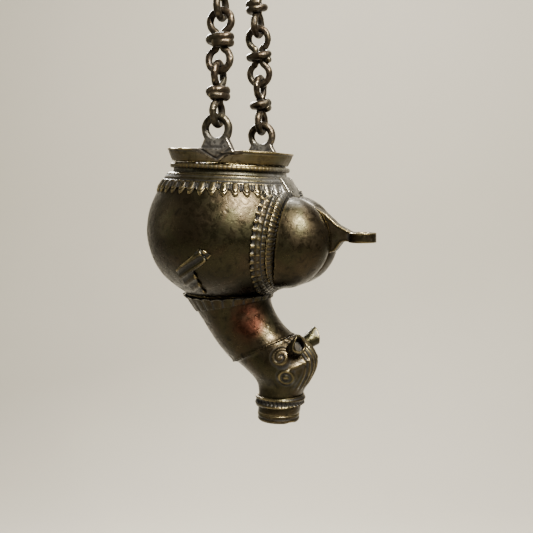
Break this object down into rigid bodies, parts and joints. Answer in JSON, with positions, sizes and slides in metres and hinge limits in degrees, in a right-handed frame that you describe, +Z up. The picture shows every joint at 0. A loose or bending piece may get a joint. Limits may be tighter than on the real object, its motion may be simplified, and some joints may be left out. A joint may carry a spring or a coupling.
{
  "type": "hanging animal-shaped censer",
  "caption": "Cast bronze censer shaped as a reclining animal with an open round pot and a down-curved neck and head, hung from two chains of wrapped wire links.",
  "frame": {"origin": "centre of the suspension ring, from which everything hangs", "axes": "+Z up, +X towards the animal's tail ring, +Y towards the far chain; the animal's plane of symmetry is Y = 0"},
  "size_m": [0.1288, 0.0902, 0.3098],
  "materials": {
    "vessel_bronze": "aged cast bronze, rubbed bright on the high spots",
    "chain_bronze": "aged forged bronze wire, dark brown",
    "fitting_bronze": "aged bronze, satin"
  },
  "bodies": {
    "suspension": {"suspension_ring": "fitting_bronze"},
    "connector": {"connecting_ring": "fitting_bronze"},
    "swivel": {"swivel_eye": "fitting_bronze", "swivel_head": "fitting_bronze"},
    "yoke": {"yoke": "fitting_bronze"},
    "near_top": {"near_link_3": "chain_bronze", "near_wrap_3": "chain_bronze"},
    "near_mid": {"near_link_2": "chain_bronze", "near_wrap_2": "chain_bronze"},
    "near_low": {"near_link_1": "chain_bronze", "near_wrap_1": "chain_bronze"},
    "far_top": {"far_link_3": "chain_bronze", "far_wrap_3": "chain_bronze"},
    "far_mid": {"far_link_2": "chain_bronze", "far_wrap_2": "chain_bronze"},
    "far_low": {"far_link_1": "chain_bronze", "far_wrap_1": "chain_bronze"},
    "vessel": {"pot_body": "vessel_bronze", "rim_band": "vessel_bronze", "rim_bead": "vessel_bronze", "shoulder_collar": "vessel_bronze", "harness_tab": "vessel_bronze", "rump_shell": "vessel_bronze", "seam_bead": "vessel_bronze", "harness_band": "vessel_bronze", "tail_ring": "vessel_bronze", "near_foreleg": "vessel_bronze", "far_foreleg": "vessel_bronze", "neck_tube": "vessel_bronze", "neck_collar": "vessel_bronze", "head_shell": "vessel_bronze", "muzzle_tip": "vessel_bronze", "noseband": "vessel_bronze", "near_ear": "vessel_bronze", "far_ear": "vessel_bronze", "near_lug": "vessel_bronze", "far_lug": "vessel_bronze"}
  },
  "joints": [
    {"name": "ring_swing", "type": "hinge", "parent": "suspension", "child": "connector", "pos_m": [0, 0, -0.0125], "axis": [0, 1, 0], "range_deg": [-60, 60]},
    {"name": "side_swing", "type": "hinge", "parent": "connector", "child": "swivel", "pos_m": [0, 0, -0.02185], "axis": [1, 0, 0], "range_deg": [-60, 60]},
    {"name": "yoke_turn", "type": "hinge", "parent": "swivel", "child": "yoke", "pos_m": [0, 0, -0.0363], "axis": [0, 0, 1], "continuous": true},
    {"name": "near_top_swing", "type": "hinge", "parent": "yoke", "child": "near_top", "pos_m": [0, -0.02398, -0.04832], "axis": [0, 1, 0], "range_deg": [-35, 35]},
    {"name": "near_mid_swing", "type": "hinge", "parent": "near_top", "child": "near_mid", "pos_m": [0, -0.02726, -0.07955], "axis": [0, 1, 0], "range_deg": [-35, 35]},
    {"name": "near_low_swing", "type": "hinge", "parent": "near_mid", "child": "near_low", "pos_m": [0, -0.02972, -0.10292], "axis": [0, 1, 0], "range_deg": [-35, 35]},
    {"name": "far_top_swing", "type": "hinge", "parent": "yoke", "child": "far_top", "pos_m": [0, 0.02398, -0.04832], "axis": [0, 1, 0], "range_deg": [-35, 35]},
    {"name": "far_mid_swing", "type": "hinge", "parent": "far_top", "child": "far_mid", "pos_m": [0, 0.02726, -0.07955], "axis": [0, 1, 0], "range_deg": [-35, 35]},
    {"name": "far_low_swing", "type": "hinge", "parent": "far_mid", "child": "far_low", "pos_m": [0, 0.02972, -0.10292], "axis": [0, 1, 0], "range_deg": [-35, 35]},
    {"name": "vessel_tilt", "type": "hinge", "parent": "near_low", "child": "vessel", "pos_m": [0, -0.033, -0.13415], "axis": [0, 1, 0], "range_deg": [-45, 45]}
  ],
  "couplings": [
    {"joint": "far_top_swing", "follows": "near_top_swing", "ratio": 1},
    {"joint": "far_mid_swing", "follows": "near_mid_swing", "ratio": 1},
    {"joint": "far_low_swing", "follows": "near_low_swing", "ratio": 1}
  ]
}
